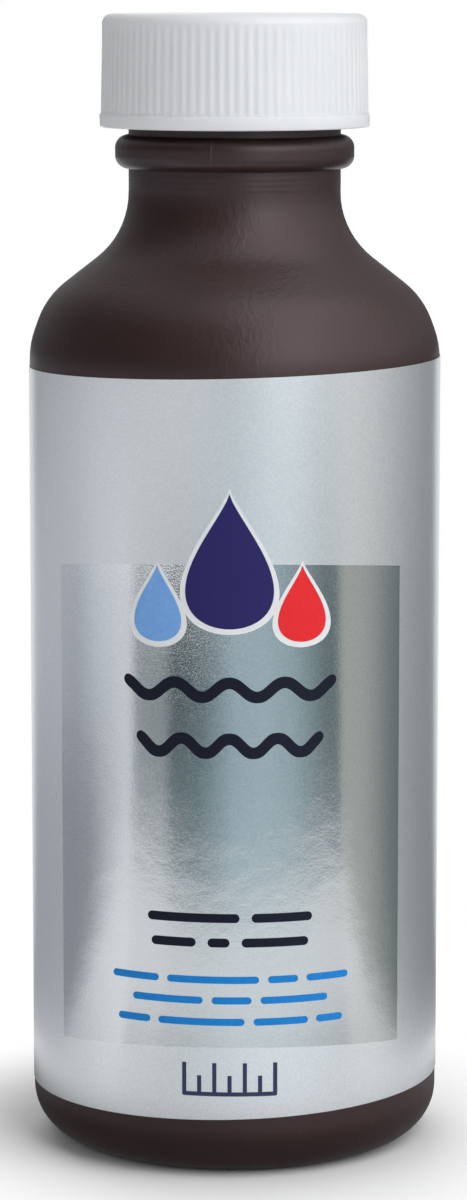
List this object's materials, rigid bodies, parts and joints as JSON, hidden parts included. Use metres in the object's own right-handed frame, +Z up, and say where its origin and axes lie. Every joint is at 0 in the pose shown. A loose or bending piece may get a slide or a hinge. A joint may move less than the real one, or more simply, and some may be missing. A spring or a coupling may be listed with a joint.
{
  "type": "solution bottle",
  "caption": "Round brown plastic bottle for a topical solution, with a white ribbed screw cap, the cap's sealing liner and a silver wrap-around label.",
  "frame": {"origin": "middle of the ring that the bottle stands on, on the floor", "axes": "+Z up along the bottle's axis, -Y to the front of the label, +X to the right seen from the front"},
  "size_m": [0.0422, 0.0423, 0.1159],
  "materials": {
    "bottle_plastic": "satin",
    "label_film": "satin",
    "cap_plastic": "satin",
    "liner_foam": "matte"
  },
  "bodies": {
    "bottle": {"bottle_body": "bottle_plastic", "wrap_label": "label_film"},
    "liner": {"cap_liner": "liner_foam"},
    "cap": {"screw_cap": "cap_plastic"}
  },
  "joints": [
    {"name": "cap_lift", "type": "slide", "parent": "bottle", "child": "liner", "axis": [0, 0, 1], "range_m": [0, 0.01694]},
    {"name": "cap_turn", "type": "hinge", "parent": "liner", "child": "cap", "pos_m": [0, 0, 0.1136], "axis": [0, 0, 1], "range_deg": [0, 1440]}
  ],
  "couplings": [
    {"joint": "cap_lift", "follows": "cap_turn", "m_per_rad": 0.00067375}
  ]
}
